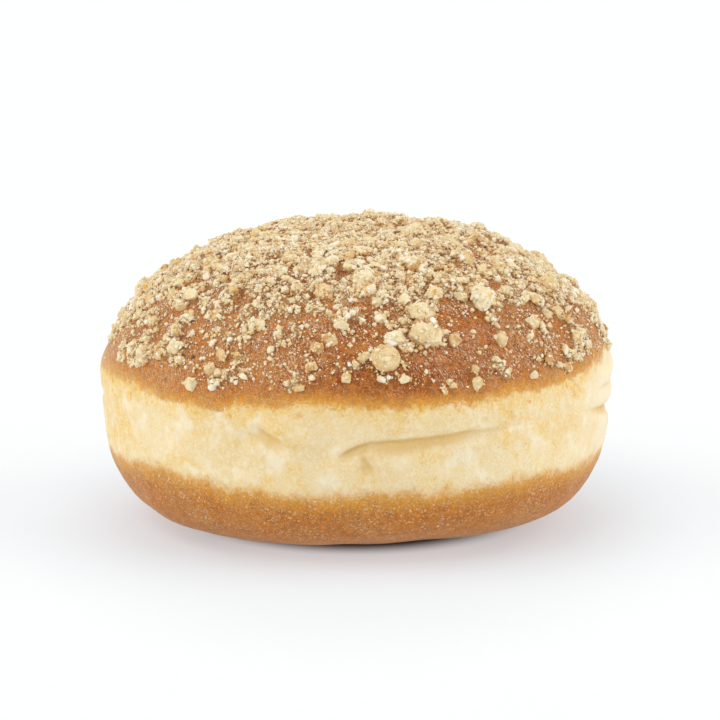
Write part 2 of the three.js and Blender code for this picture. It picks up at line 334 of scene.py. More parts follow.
def closed_grid(rows, columns):
    """Triangles over rows by columns points that go round and up, wound to face outward, with a fan to one more
    point at each end: first the foot, then the crown."""
    row, column = np.meshgrid(np.arange(rows - 1), np.arange(columns), indexing="ij")
    here, beside = row * columns + column, row * columns + (column + 1) % columns
    lower = np.stack([here, beside, beside + columns], -1).reshape(-1, 3)
    upper = np.stack([here, beside + columns, here + columns], -1).reshape(-1, 3)
    ring = np.arange(columns)
    after = (ring + 1) % columns
    last = (rows - 1) * columns
    foot, crown = np.full(columns, rows * columns), np.full(columns, rows * columns + 1)
    fans = np.stack([foot, after, ring], -1), np.stack([crown, last + ring, last + after], -1)
    return np.concatenate([lower, upper, *fans])


# %% Points of the skin
ROWS, COLUMNS = 184, 530
round_shares = np.linspace(-np.pi, np.pi, COLUMNS, endpoint=False)
columns = round_shares - 0.32 * np.sin(round_shares)  # closer together in front
row_heights = [0.004, 0.36, 0.61, 0.76, 0.997]  # shares of the skin's length: foot, belt, crust, crown
row_shares = np.interp(np.linspace(0, 1, ROWS), [0, 0.14, 0.66, 0.84, 1], row_heights)
azimuth, latitude = np.meshgrid(columns, np.interp(row_shares * walk_length[-1], walk_length, walk_latitude))
plain = bare_dough(azimuth, latitude)
creases, crease_line = crease_relief(azimuth, plain[..., 2])
forms = soft_forms(azimuth, plain[..., 2])
small = 0.12 * lumps(plain, 6, 1) + 0.07 * lumps(plain, 2.6, 2) + 0.035 * lumps(plain, 1.3, 3)
packed, thickness = bed(azimuth, latitude)
relief = creases + forms + small * smooth(0.3, 4, plain[..., 2]) + thickness
skin = bare_dough(azimuth, latitude, relief)
print("belt, mm:", round(float(np.ptp(skin[..., 0])), 1), "wide; crown at", round(float(skin[..., 2].max()), 1))

# %% [markdown]
# ## Finishes
# Every finish is built from nodes, so that it holds at any distance. Two effects are needed by more than one
# material, a fine grain and soft-edged patches, so each of them is a node group that is built once. The dough's
# colour follows how long each height stayed in the hot oil: cream, then a narrow golden edge, then brown. Some
# light and shade is painted into it too: highlights and sheen on the crusts and the belt, and shade in the creases.

# %% Node helpers
def srgb(red, green, blue):
    """A colour given as 0 to 255 on screen, in the linear values that shaders use."""
    share = np.array([red, green, blue]) / 255
    linear = np.where(share <= 0.04045, share / 12.92, ((share + 0.055) / 1.055) ** 2.4)
    return (*linear.tolist(), 1.0)


def node(tree, kind, **settings):
    """A new node of that kind with its settings."""
    made = tree.nodes.new(kind)
    for name, value in settings.items():
        setattr(made, name, value)
    return made


def feed(tree, socket, value):
    """Links a socket to another node's output, or sets it to a plain value."""
    if isinstance(value, bpy.types.NodeSocket):
        tree.links.new(value, socket)
    else:
        socket.default_value = value


def feed_named(tree, made, **values):
    """Feeds a node's sockets by their names, with _ for a space."""
    for label, value in values.items():
        feed(tree, made.inputs[label.replace("_", " ")], value)


def calc(tree, operation, *values):
    """One step of arithmetic on numbers or outputs."""
    made = node(tree, "ShaderNodeMath", operation=operation)
    for socket, value in zip(made.inputs, values):
        feed(tree, socket, value)
    return made.outputs[0]


def times(tree, first, second):
    """The product of two numbers or outputs."""
    return calc(tree, "MULTIPLY", first, second)


def larger(tree, first, second):
    """The larger of two numbers or outputs."""
    return calc(tree, "MAXIMUM", first, second)


def ramp(tree, value, low, high, first=0.0, last=1.0):
    """A soft step: first below low, last above high."""
    made = node(tree, "ShaderNodeMapRange", interpolation_type="SMOOTHSTEP")
    feed_named(tree, made, Value=value, From_Min=low, From_Max=high, To_Min=first, To_Max=last)
    return made.outputs["Result"]


def mixed(tree, share, first, second):
    """Two colours mixed by a share."""
    made = node(tree, "ShaderNodeMix", data_type="RGBA")
    for index, value in ((0, share), (6, first), (7, second)):
        feed(tree, made.inputs[index], value)
    return made.outputs[2]


def mark(tree, label):
    """The value of a named mark on the mesh."""
    return node(tree, "ShaderNodeAttribute", attribute_name=label).outputs["Fac"]


# %% Effects as node groups
def effect(name, inputs, output):
    """An empty shader group with named inputs and one output, and the nodes at its two ends."""
    group = bpy.data.node_groups.new(name, "ShaderNodeTree")
    for label, kind in inputs:
        group.interface.new_socket(label, in_out="INPUT", socket_type=kind)
    group.interface.new_socket(output, in_out="OUTPUT", socket_type="NodeSocketFloat")
    return group, node(group, "NodeGroupInput"), node(group, "NodeGroupOutput")


def grain_group():
    """Grain: fine noise between 0 and 1, with lumps of Size in millimetres."""
    sockets = (("Vector", "NodeSocketVector"), ("Size", "NodeSocketFloat"), ("Detail", "NodeSocketFloat"))
    group, start, end = effect("grain", sockets, "Height")
    noise = node(group, "ShaderNodeTexNoise")
    scale = calc(group, "DIVIDE", 1000, start.outputs["Size"])
    vector, detail = start.outputs["Vector"], start.outputs["Detail"]
    feed_named(group, noise, Vector=vector, Scale=scale, Detail=detail, Roughness=0.6)
    feed(group, end.inputs["Height"], noise.outputs["Fac"])
    return group


def patches_group(grain):
    """Patches: 1 where the grain is above High, 0 where it is below Low, and soft between."""
    labels = ("Size", "Detail", "Low", "High")
    sockets = (("Vector", "NodeSocketVector"), *((label, "NodeSocketFloat") for label in labels))
    group, start, end = effect("patches", sockets, "Mask")
    inner = node(group, "ShaderNodeGroup", node_tree=grain)
    for label in ("Vector", "Size", "Detail"):
        feed(group, inner.inputs[label], start.outputs[label])
    soft = ramp(group, inner.outputs["Height"], start.outputs["Low"], start.outputs["High"])
    feed(group, end.inputs["Mask"], soft)
    return group


GRAIN = grain_group()
PATCHES = patches_group(GRAIN)


def grain(tree, vector, size, detail=3.0):
    """Places the grain group and gives its height."""
    made = node(tree, "ShaderNodeGroup", node_tree=GRAIN)
    feed_named(tree, made, Vector=vector, Size=size, Detail=detail)
    return made.outputs["Height"]


def patches(tree, vector, size, low, high, detail=3.0):
    """Places the patches group and gives its mask."""
    made = node(tree, "ShaderNodeGroup", node_tree=PATCHES)
    feed_named(tree, made, Vector=vector, Size=size, Detail=detail, Low=low, High=high)
    return made.outputs["Mask"]


def new_material(name, **constants):
    """A material with a Principled shader whose sockets have these constants."""
    material = bpy.data.materials.new(name)
    material.use_nodes = True
    shader = material.node_tree.nodes["Principled BSDF"]
    for label, value in constants.items():
        shader.inputs[label.replace("_", " ")].default_value = value
    return material, material.node_tree, shader


def bumped(tree, shader, millimetres):
    """Feeds a height in millimetres to the shader's normal."""
    bump = node(tree, "ShaderNodeBump")
    bump.inputs["Distance"].default_value = MM
    feed(tree, bump.inputs["Height"], millimetres)
    feed(tree, shader.inputs["Normal"], bump.outputs["Normal"])


# %% Fried dough
CREAM, PALE, YELLOW, AMBER = srgb(242, 216, 162), srgb(255, 247, 226), srgb(240, 200, 112), srgb(228, 160, 44)
FOLD_SHADE, LINE_SHADE = srgb(228, 188, 114), srgb(206, 156, 72)
GOLD, TAN = srgb(242, 173, 70), srgb(230, 148, 60)
BROWN, DARK, LOW_BROWN = srgb(212, 128, 52), srgb(156, 71, 8), srgb(225, 141, 50)
LOW_DARK, SPECK_AND_SHEEN, MEAL_BED = srgb(176, 94, 25), srgb(248, 204, 142), srgb(214, 168, 114)
PAINTED_GLINT = srgb(255, 226, 190)  # painted highlight: the light that tiny blisters would catch


def weighed(tree, *parts):
    """The sum of outputs, each less a half and times its weight."""
    total = 0.0
    for value, weight in parts:
        total = calc(tree, "MULTIPLY_ADD", calc(tree, "SUBTRACT", value, 0.5), weight, total)
    return total


def strokes(tree, uv, slope, size, low, high):
    """Short strokes: patches stretched along a slope on the skin, in degrees."""
    turn = node(tree, "ShaderNodeMapping", vector_type="TEXTURE")
    turn.inputs["Rotation"].default_value = (0, 0, math.radians(slope))
    turn.inputs["Scale"].default_value = (3.2, 1, 1)
    feed(tree, turn.inputs["Vector"], uv)
    return patches(tree, turn.outputs["Vector"], size, low, high, 1.0)


def fried_dough():
    """Cream belt, golden edges and brown crusts, mottled, with pale dots and strokes that are partly flour dust and
    partly painted sheen, painted highlights of tiny blisters on the crusts, and a thin gloss where the top is fried.
    Painted shade darkens the folds and crease lines, and painted sheen makes the belt paler at its right side."""
    constants = {"Subsurface_Weight": 0.15, "Subsurface_Radius": (1, 0.55, 0.3), "Subsurface_Scale": 0.0012}
    material, tree, shader = new_material("fried dough", **constants, Coat_Roughness=0.2, Specular_IOR_Level=0.12)
    spot = node(tree, "ShaderNodeTexCoord").outputs["Object"]
    uv = node(tree, "ShaderNodeUVMap", uv_map="skin").outputs["UV"]
    stipple = grain(tree, spot, 0.4, 2.0)
    wander = weighed(tree, (grain(tree, spot, 4.5), 3.4), (grain(tree, spot, 1.2), 2.0), (stipple, 1.8))
    above = calc(tree, "ADD", mark(tree, "above_belt"), wander)
    below = calc(tree, "ADD", mark(tree, "below_belt"), wander)

    yellowed = weighed(tree, (patches(tree, spot, 9, 0.4, 0.66), 0.6), (patches(tree, spot, 2.6, 0.42, 0.64), 0.4))
    belt = mixed(tree, ramp(tree, yellowed, -0.3, 0.5, 0.0, 0.9), CREAM, YELLOW)
    belt = mixed(tree, times(tree, ramp(tree, above, -4.5, -0.4), 0.8), belt, YELLOW)
    tongues = times(tree, patches(tree, spot, 1.3, 0.56, 0.68), ramp(tree, above, -4.0, -1.0, 0.0, 0.9))
    belt = mixed(tree, tongues, belt, AMBER)
    fluff = patches(tree, spot, 1.6, 0.44, 0.68, 6.0)
    tufts = patches(tree, spot, 4.4, 0.44, 0.7, 6.0)
    fibres = times(tree, strokes(tree, uv, -62, 0.2, 0.5, 0.62), patches(tree, spot, 8, 0.44, 0.6))
    pale = larger(tree, times(tree, fluff, 0.4), times(tree, tufts, 0.65))
    pale = larger(tree, pale, times(tree, fibres, 0.5))
    # Painted sheen: the belt turns paler towards its right side, where the side light grazes it.
    sides = node(tree, "ShaderNodeSeparateXYZ")
    feed(tree, sides.inputs[0], spot)
    pale = larger(tree, pale, ramp(tree, sides.outputs["X"], 37 * MM, 43 * MM, 0.0, 0.55))
    belt = mixed(tree, larger(tree, pale, ramp(tree, stipple, 0.46, 0.68, 0.0, 0.4)), belt, PALE)
    # Painted shade: a darker yellow in the folds and a darker line along each crease.
    belt = mixed(tree, times(tree, mark(tree, "folded"), 0.7), belt, FOLD_SHADE)
    belt = mixed(tree, times(tree, mark(tree, "crease_line"), 0.7), belt, LINE_SHADE)

    # The crust is darker where it fried browner, and lighter at the sides, partly as painted sheen.
    mottle = weighed(tree, (grain(tree, spot, 3.0), 2.0), (grain(tree, spot, 0.9), 3.4), (stipple, 4.6))
    darkened = ramp(tree, calc(tree, "ADD", mark(tree, "browning_and_sheen"), mottle), 0.1, 1.1)
    crust = mixed(tree, darkened, BROWN, DARK)
    crust = mixed(tree, ramp(tree, above, 3.9, 0.8, 0.0, 0.6), crust, TAN)
    crust = mixed(tree, ramp(tree, above, 2.4, -0.4), crust, GOLD)
    low_crust = mixed(tree, ramp(tree, mottle, -1.1, 1.5), LOW_BROWN, LOW_DARK)
    low_crust = mixed(tree, ramp(tree, below, 4.0, -0.3), low_crust, GOLD)
    # Pale dots and strokes, partly flour dust and partly painted sheen and highlights: slanted strokes of painted
    # highlight and a fine stipple, shown most where the crust is lightest, at the sides.
    falling, rising = strokes(tree, uv, -52, 0.26, 0.52, 0.62), strokes(tree, uv, 28, 0.24, 0.56, 0.66)
    slanted_highlights = times(tree, larger(tree, falling, rising), patches(tree, spot, 9, 0.4, 0.6))
    flecks_and_sheen = larger(tree, slanted_highlights, ramp(tree, stipple, 0.52, 0.6))
    shown = ramp(tree, mark(tree, "browning_and_sheen"), 0.3, 1.0, 0.6, 0.12)
    top = mixed(tree, times(tree, flecks_and_sheen, shown), crust, SPECK_AND_SHEEN)
    # Painted highlights: small pale streaks and dots on the upper crust, in patches, fading out near the golden edge.
    streaks, dots = strokes(tree, uv, -62, 0.3, 0.58, 0.63), patches(tree, spot, 0.32, 0.62, 0.68, 1.0)
    specks = larger(tree, streaks, dots)
    painted_glints = times(tree, specks, patches(tree, spot, 6, 0.4, 0.58))
    painted_glints = times(tree, painted_glints, ramp(tree, above, 0.8, 4.0, 0.0, 0.65))
    top = mixed(tree, painted_glints, top, PAINTED_GLINT)
    bedded = times(tree, mark(tree, "packed"), ramp(tree, stipple, 0.3, 0.5))
    top = mixed(tree, times(tree, bedded, 0.9), top, MEAL_BED)
    low = mixed(tree, times(tree, flecks_and_sheen, 0.35), low_crust, SPECK_AND_SHEEN)
    # Painted highlights on the low crust: tiny pale specks in the same colour, crowded in some places.
    glint_specks, crowd = patches(tree, spot, 0.42, 0.6, 0.67, 1.0), ramp(tree, grain(tree, spot, 7.0), 0.35, 0.6, 0.25, 0.7)
    low = mixed(tree, times(tree, glint_specks, crowd), low, PAINTED_GLINT)

    is_top, is_low = ramp(tree, above, -0.9, 0.5), ramp(tree, below, -1.6, 1.0)
    color = mixed(tree, is_low, mixed(tree, is_top, belt, top), low)
    feed(tree, shader.inputs["Base Color"], color)
    fried = larger(tree, is_top, is_low)
    feed(tree, shader.inputs["Roughness"], ramp(tree, fried, 0, 1, 0.65, 0.4))
    gloss = times(tree, is_top, ramp(tree, grain(tree, spot, 2.0), 0.35, 0.65, 0.0, 0.3))
    feed(tree, shader.inputs["Coat Weight"], gloss)
    soft = weighed(tree, (grain(tree, spot, 1.4, 4.0), 0.2), (stipple, 0.1), (fluff, 0.08))
    rough = weighed(tree, (grain(tree, spot, 0.8, 3.0), 0.3), (stipple, 0.3), (flecks_and_sheen, 0.08))
    bumped(tree, shader, calc(tree, "ADD", soft, times(tree, rough, fried)))
    return material


DOUGH = fried_dough()
print("dough material:", len(DOUGH.node_tree.nodes), "nodes")

# %% The dough
above_belt = skin[..., 2] - edge_height(TOP_EDGE, azimuth)
below_belt = edge_height(LOW_EDGE, azimuth) - skin[..., 2]
foot, crown = skin[0].mean(0) * (1, 1, 0), skin[-1].mean(0)
points = np.concatenate([skin.reshape(-1, 3), [foot, crown]])
faces = closed_grid(ROWS, COLUMNS)
browning_and_sheen = np.clip(0.5 + bumps(BROWNING_AND_SHEEN, azimuth, latitude), 0, 1)
# How deep each point lies in a fold, which the dough paints as shade.
folded = smooth(0.1, 0.62, -creases)
ends = {  # the values of each mark, and those at the foot and the crown
    "above_belt": (above_belt, (-20, 20)),
    "below_belt": (below_belt, (14, -20)),
    "folded": (folded, (0, 0)),
    "crease_line": (crease_line, (0, 0)),
    "packed": (packed, (0, 1)),
    "browning_and_sheen": (browning_and_sheen, (0.5, 0.5)),
}
marks = {label: np.append(values, last) for label, (values, last) in ends.items()}
lengths = np.append((row_shares * walk_length[-1])[:, None] + 0 * azimuth, [0, walk_length[-1]])
around = np.append(azimuth * SIDE, [0, 0])[faces]
around += np.where(np.ptp(around, axis=1, keepdims=True) > np.pi * SIDE, 2 * np.pi * SIDE * (around < 0), 0)
uv = np.stack([around, lengths[faces]], -1) * MM
dough = make_piece("dough", points, faces, DOUGH, marks, uv)
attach(dough, "root")
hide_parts("doughnut")

# %% [markdown]
# ## How a chopped walnut breaks
# A blade leaves bits with a few flat cuts and worn edges, and a lot of meal. A bit is worked out as a ball cut by
# several planes: along each direction, the radius is set by the nearest cut, and a power joins the cuts with worn
# edges instead of sharp ones. The bits are sorted by size, and each size is one mesh, because thousands of separate
# objects would be slow. The smaller the bit, the fewer faces it needs.

# %% Shapes of bits
def solid_ball(kind):
    """Corners and triangles of an octahedron or icosahedron with radius 1, from which corners lie an edge apart."""
    if kind == "octahedron":
        corners = np.concatenate([np.eye(3), -np.eye(3)])
    else:
        g = (1 + 5**0.5) / 2
        flat = np.array([(0, a, b * g) for a in (-1, 1) for b in (-1, 1)], float)
        corners = np.concatenate([np.roll(flat, shift, axis=1) for shift in range(3)])
        corners /= np.linalg.norm(corners[0])
    gap = np.linalg.norm(corners[:, None] - corners, axis=-1)
    joined = (gap > 0) & (gap < 1.001 * gap[gap > 0].min())
    a, b, c = np.nonzero(joined[:, :, None] & joined[:, None, :] & joined[None])
    faces = np.stack([a, b, c], 1)[(a < b) & (b < c)]
    inward = np.linalg.det(corners[faces]) < 0
    faces[inward] = faces[inward][:, ::-1]
    return corners, faces


def split(corners, faces):
    """Each triangle cut into four at the middles of its edges, with the new corners pushed out to radius 1."""
    edges = np.sort(faces[:, [[0, 1], [1, 2], [2, 0]]].reshape(-1, 2), axis=1)
    pairs, place = np.unique(edges, axis=0, return_inverse=True)
    middle = corners[pairs].mean(1)
    middle /= np.linalg.norm(middle, axis=1, keepdims=True)
    (a, b, c), (ab, bc, ca) = faces.T, (place.reshape(-1, 3) + len(corners)).T
    quarters = ((a, ab, ca), (ab, b, bc), (ca, bc, c), (ab, bc, ca))
    return np.concatenate([corners, middle]), np.concatenate([np.stack(quarter, 1) for quarter in quarters])


def ball(kind, splits):
    """The ball after a number of splits."""
    shape = solid_ball(kind)
    for _ in range(splits):
        shape = split(*shape)
    return shape


def chopped_bits(count, corners, wear=7.0, cuts=9, depths=(0.5, 0.95), jitter=0.1, knobs=0.0):
    """Corners of many bits, about 1 long: radius = (1 + the sum of (lean / depth) to the power wear) to the power
    -1/wear, where lean is how far a direction leans towards each cut. Then knobs are added as soft noise of two
    sizes, and every corner is pushed a little."""
    toward = rng.normal(size=(count, cuts, 3))
    toward /= np.linalg.norm(toward, axis=-1, keepdims=True)
    depth = rng.uniform(*depths, (count, 1, cuts))
    lean = np.maximum(0, np.einsum("vd,ckd->cvk", corners, toward)) / depth
    radius = (1 + (lean**wear).sum(-1)) ** (-1 / wear)
    if knobs:
        place = corners + 7.3 * np.arange(count)[:, None, None]
        radius *= 1 + knobs * (lumps(place, 0.5) + 0.6 * lumps(place, 0.2, 1))
    radius *= 1 + jitter * rng.uniform(-1, 1, radius.shape)
    return 0.62 * corners * radius[..., None]


def turned_frames(outward, tilt):
    """Three axes for each bit, right-handed, with the third outward except for a random tilt."""
    up = outward + tilt * rng.normal(size=outward.shape)
    up /= np.linalg.norm(up, axis=1, keepdims=True)
    along = np.cross(up, rng.normal(size=up.shape))
    along /= np.linalg.norm(along, axis=1, keepdims=True)
    return np.stack([along, np.cross(up, along), up], 1)


# %% [markdown]
# ## How the walnuts settle
# A real baker presses the bun into a tray of nuts, and what is left lies in heaps of different thickness. A physics
# simulation of 65,000 bits would be slow, so they are dropped one batch at a time onto a height map: the dome is
# unrolled flat around its crown, each bit comes to rest on the height below it, and then raises the map by its own
# shape for the next ones. The largest go first, so that the meal ends up on and around them.

# %% Height map of the heap
CHUNKS = [  # azimuth, latitude and length of the largest bits: 40 in front, and 8 guessed further round
    (16, 33, 5.6), (6.5, 25.5, 4.8), (16.5, 43.5, 5.0), (36.5, 46, 4.8), (2, 58, 3.6), (-9, 52, 3.6), (-7, 80, 3.4),
    (-19, 72, 3.0), (-32, 70, 3.0), (-30, 63, 2.8), (-56, 19, 2.9), (-60, 32, 2.6), (-34, 18, 2.6), (-38, 11, 2.6),
    (-32, 24, 2.5), (-26, 38, 3.1), (-40, 40, 2.4), (-44, 20, 2.1), (-9, 29, 2.6), (-6, 33, 2.9), (-10, 22, 2.2),
    (24, 31, 2.6), (8, 32, 2.6), (23, 50, 2.8), (44, 78, 3.0), (27, 12, 2.5), (27, 18, 1.7), (-2, 17, 2.2),
    (-12, 13, 2.1), (36, 29, 2.9), (48, 33, 2.6), (48, 18, 2.4), (54, 12, 2.2), (65, 24, 2.4), (42, 12, 2.0),
    (19, 10, 1.6), (-26, 18, 1.7), (-63, 60, 3.4), (66, 45, 3.4), (24, 66, 3.6), (120, 40, 5.0), (163, 31, 4.6),
    (-150, 48, 5.2), (-112, 30, 4.4), (140, 18, 3.0), (-130, 16, 2.8), (90, 60, 3.6), (-95, 52, 3.4),
]
CELL, REACH = 0.2, 74.0
crown_length = walk_length[-1]
steps = np.arange(-REACH, REACH, CELL)
across, ahead = np.meshgrid(steps, steps, indexing="ij")
map_latitude = np.interp(crown_length - np.hypot(across, ahead), walk_length, walk_latitude)
_, ground = bed(np.arctan2(across, -ahead), map_latitude)
heap = ground.copy()
laid = []  # each fine kind's piece, the cells of its bits, and the height of its points above the dough
perches = []  # points on the chunks and chips where smaller bits stick, and which way is out
dome = walk_latitude > math.radians(1)
dome_area = np.cumsum(np.where(dome, walk_out, 0) * np.gradient(walk_length))


def map_cell(azimuth, latitude):
    """The cell of the unrolled dome: the way from the crown along the skin, in the direction of the azimuth."""
    away = crown_length - np.interp(latitude, walk_latitude, walk_length)
    spot = np.stack([away * np.sin(azimuth), -away * np.cos(azimuth)], -1)
    return ((spot + REACH) / CELL).astype(int)


def levelled(heights, cells=2):
    """The map averaged over a square of cells on each side, through running sums."""
    wide = 2 * cells + 1
    for axis in (0, 1):
        sums = np.cumsum(np.insert(heights, 0, 0, axis), axis)
        ends = np.arange(heights.shape[axis])
        low, high = np.maximum(ends - cells, 0), np.minimum(ends + cells + 1, len(ends))
        heights = (np.take(sums, high, axis) - np.take(sums, low, axis)) / wide
    return heights


def settle(azimuth, latitude, length, thick, sunk, limit, batches=6):
    """Height of each bit's middle above the dough. In every batch the bits rest on the levelled map, at most at the
    limit above the bed, less the share that is pressed in, and then raise the map by a dome: thickness/2 times the
    root of 1 - (distance / radius) squared."""
    cell = map_cell(azimuth, latitude)
    lift = np.zeros(len(length))
    span = int(np.ceil(length.max() / 2 / CELL))
    offsets = np.stack(np.meshgrid(*[np.arange(-span, span + 1)] * 2, indexing="ij"), -1).reshape(-1, 2)
    away = np.hypot(*offsets.T) * CELL
    for batch in np.array_split(rng.permutation(len(length)), batches):
        spot = tuple(cell[batch].T)
        rest = np.minimum(levelled(heap)[spot], ground[spot] + limit)
        lift[batch] = rest + (0.5 - sunk) * thick[batch]
        dome_shape = 1 - (away / (0.45 * length[batch, None])) ** 2
        top = lift[batch, None] + thick[batch, None] / 2 * np.sqrt(np.maximum(0, dome_shape))
        inside = dome_shape > 0
        np.maximum.at(heap, tuple((cell[batch, None] + offsets)[inside].T), top[inside])
    return lift


def scattered(count, loose):
    """Azimuth and latitude of bits, spread evenly over the dome and kept where the nuts lie in clumps. A loose
    share is also kept between the clumps, and less of it further down."""
    azimuth = rng.uniform(-np.pi, np.pi, 6 * count)
    latitude = np.interp(rng.uniform(0, dome_area[-1], 6 * count), dome_area, walk_latitude)
    zone = covered(azimuth, latitude)
    clustered = smooth(0.42, 0.66, zone + clumps(bare_dough(azimuth, latitude)))
    chance = np.maximum(clustered, loose * smooth(0, 0.4, zone)) * smooth(5, 11, np.degrees(latitude))
    kept = np.nonzero(rng.random(6 * count) < chance)[0][:count]
    return azimuth[kept], latitude[kept]


# %% [markdown]
# ## What walnut looks like
# Fresh cut walnut is oily, so light goes a little way into it. Light scattered inside thousands of bits that overlap
# turns the heap grey-green, though, so here the warmth is in the colour alone. Each bit has a tone of its own from
# tan to cream, because some show the outside of the kernel and some the inside, with a few yellow patches, and a few
# bits are the brown skin.

# %% Walnut finish
TONES = [  # place on the ramp from 0 to 1, and colour on screen
    (0, (206, 154, 92)),
    (0.08, (228, 192, 132)),
    (0.35, (239, 216, 166)),
    (0.7, (248, 234, 198)),
    (1, (252, 249, 235)),
]
NUT_YELLOW, SKIN_BROWN, SKIN_DARK = srgb(236, 188, 88), srgb(160, 110, 68), srgb(112, 74, 46)
WARM_SHADE_AND_FAT = srgb(220, 166, 104)  # of bits that lie deep in the heap: partly fat from the crust, partly painted warm shade


def chopped_walnut(name, speckle):
    """Tone of each bit through a ramp of beiges, with yellow patches and a fine waxy grain, and a warm brown on bits
    that lie deep in the heap, which is partly soaked fat and partly painted shade. Speckle is how much the tone
    changes over a third of a millimetre."""
    material, tree, shader = new_material(name, Specular_IOR_Level=0.4)
    spot = node(tree, "ShaderNodeTexCoord").outputs["Object"]
    tones = node(tree, "ShaderNodeValToRGB")
    stops = tones.color_ramp.elements
    while len(stops) < len(TONES):
        stops.new(0.5)
    for stop, (place, shade) in zip(stops, TONES):
        stop.position = place
        stop.color = srgb(*shade)
    own = mark(tree, "tone")
    change = ((grain(tree, spot, size), weight) for size, weight in ((3.2, 0.7), (0.9, 0.6), (0.3, speckle)))
    feed(tree, tones.inputs["Fac"], calc(tree, "ADD", own, weighed(tree, *change)))
    color = mixed(tree, patches(tree, spot, 2.6, 0.6, 0.72), tones.outputs["Color"], NUT_YELLOW)
    # Painted warm shade, partly soaked fat: points low in the heap are mixed towards a warm brown.
    color = mixed(tree, ramp(tree, mark(tree, "raised"), 0.0, 1.0, 0.85, 0.0), color, WARM_SHADE_AND_FAT)
    feed(tree, shader.inputs["Base Color"], color)
    feed(tree, shader.inputs["Roughness"], ramp(tree, grain(tree, spot, 0.6), 0.3, 0.7, 0.2, 0.45))
    bumped(tree, shader, weighed(tree, (grain(tree, spot, 0.5, 2.0), 0.1)))
    return material


def walnut_skin():
    """Papery brown skin with darker veins."""
    material, tree, shader = new_material("walnut skin", Subsurface_Weight=0.05, Subsurface_Scale=0.0005)
    spot = node(tree, "ShaderNodeTexCoord").outputs["Object"]
    color = mixed(tree, patches(tree, spot, 0.8, 0.35, 0.65), SKIN_DARK, SKIN_BROWN)
    feed(tree, shader.inputs["Base Color"], color)
    feed(tree, shader.inputs["Roughness"], ramp(tree, grain(tree, spot, 0.5), 0.3, 0.7, 0.45, 0.75))
    bumped(tree, shader, weighed(tree, (grain(tree, spot, 0.4, 2.0), 0.08)))
    return material


WALNUT, FINE_WALNUT = chopped_walnut("walnut piece", 0.3), chopped_walnut("fine walnut", 0.8)
SKIN = walnut_skin()


TONE_SPREAD = 0.22  # how much the bits differ in tone, of the ramp's length
PERCHES = 4000  # points kept on each of the two largest kinds


def lay(
    name, shape, place, length, flat, sunk, limit, tilt, material, stuck=0, sharp=0, tone=0.52, narrow=0.6, **shaping
):
    """Settles bits of one kind on the dome and joins them in one piece. Place is their azimuth and latitude, and
    flat is each bit's thickness over its length. Narrow is the least width over length. The last ones, which are
    stuck, sit on chunks and chips instead."""
    azimuth, latitude = place
    corners, faces = shape
    count = len(length)
    bits = chopped_bits(count, corners, **shaping)
    wide = rng.uniform(narrow, 1.0, count)
    thick = length * flat
    lift = settle(azimuth, latitude, length[: count - stuck], thick[: count - stuck], sunk, limit)
    here = bare_dough(azimuth, latitude, lift)
    outward = bare_dough(azimuth, latitude, lift + 0.5) - here
    outward /= np.linalg.norm(outward, axis=1, keepdims=True)
    if stuck:
        spots, ways = (np.concatenate(part) for part in zip(*perches))
        pick = rng.integers(len(spots), size=stuck)
        here = np.append(here, spots[pick] + 0.15 * thick[count - stuck :, None] * ways[pick], 0)
        outward = np.append(outward, ways[pick], 0)
    sized = bits * (length[:, None] * np.stack([np.ones(count), wide, flat], 1))[:, None]
    points = np.einsum("cvi,cij->cvj", sized, turned_frames(outward, tilt)) + here[:, None]
    every = faces + (np.arange(count) * len(corners))[:, None, None]
    tones = np.repeat(np.clip(rng.normal(tone, TONE_SPREAD, count), 0.05, 1), len(corners))
    marks = {"tone": tones, "raised": np.ones(len(tones))}
    piece = make_piece(name, points.reshape(-1, 3), every.reshape(-1, 3), material, marks, sharp=sharp)
    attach(piece, "root")
    free = slice(0, count - stuck)
    above = lift[:, None] + np.einsum("cvi,ci->cv", (points - here[:, None])[free], outward[free])
    return piece, map_cell(azimuth, latitude), above


def remember_perches(piece, cell, above, length, count):
    """Keeps points high on a piece's bits, for smaller bits to stick to: more of them on the longer ones, in
    proportion to length squared."""
    vertices = piece.data.vertices
    points, ways = np.empty(3 * len(vertices)), np.empty(3 * len(vertices))
    vertices.foreach_get("co", points)
    piece.data.vertex_normals.foreach_get("vector", ways)
    chance = (above > 0.5) * length[:, None] ** 2
    pick = rng.choice(chance.size, count, p=chance.ravel() / chance.sum())
    perches.append((points.reshape(-1, 3)[pick] / MM, ways.reshape(-1, 3)[pick]))


# %% Chunks and chips
CHUNK_SCALE = 0.88  # of all the listed lengths
azimuth, latitude, length = np.array(CHUNKS, float).T * [[1], [1], [CHUNK_SCALE]]
flat = rng.uniform(0.6, 0.85, len(length))
place = np.radians(azimuth), np.radians(latitude)
cutting = {"jitter": 0.01, "wear": 60, "cuts": 10, "depths": (0.45, 0.82), "knobs": 0.07}
looks = {"sharp": 24, "tone": 0.28, "narrow": 0.82}
chunks = lay("walnut_chunks", ball("icosahedron", 3), place, length, flat, 0.36, 0.2, 0.25, WALNUT, **looks, **cutting)
remember_perches(*chunks, length, PERCHES)
place = scattered(420, 0.0)
length = rng.uniform(1.4, 2.7, len(place[0]))
flat = rng.uniform(0.55, 0.85, len(length))
cutting = {"jitter": 0.03, "wear": 40, "cuts": 9, "depths": (0.42, 0.82), "knobs": 0.08}
looks = {"sharp": 24, "tone": 0.34}
chips = lay("walnut_chips", ball("icosahedron", 2), place, length, flat, 0.48, 0.1, 0.35, WALNUT, **looks, **cutting)
remember_perches(*chips, length, PERCHES)


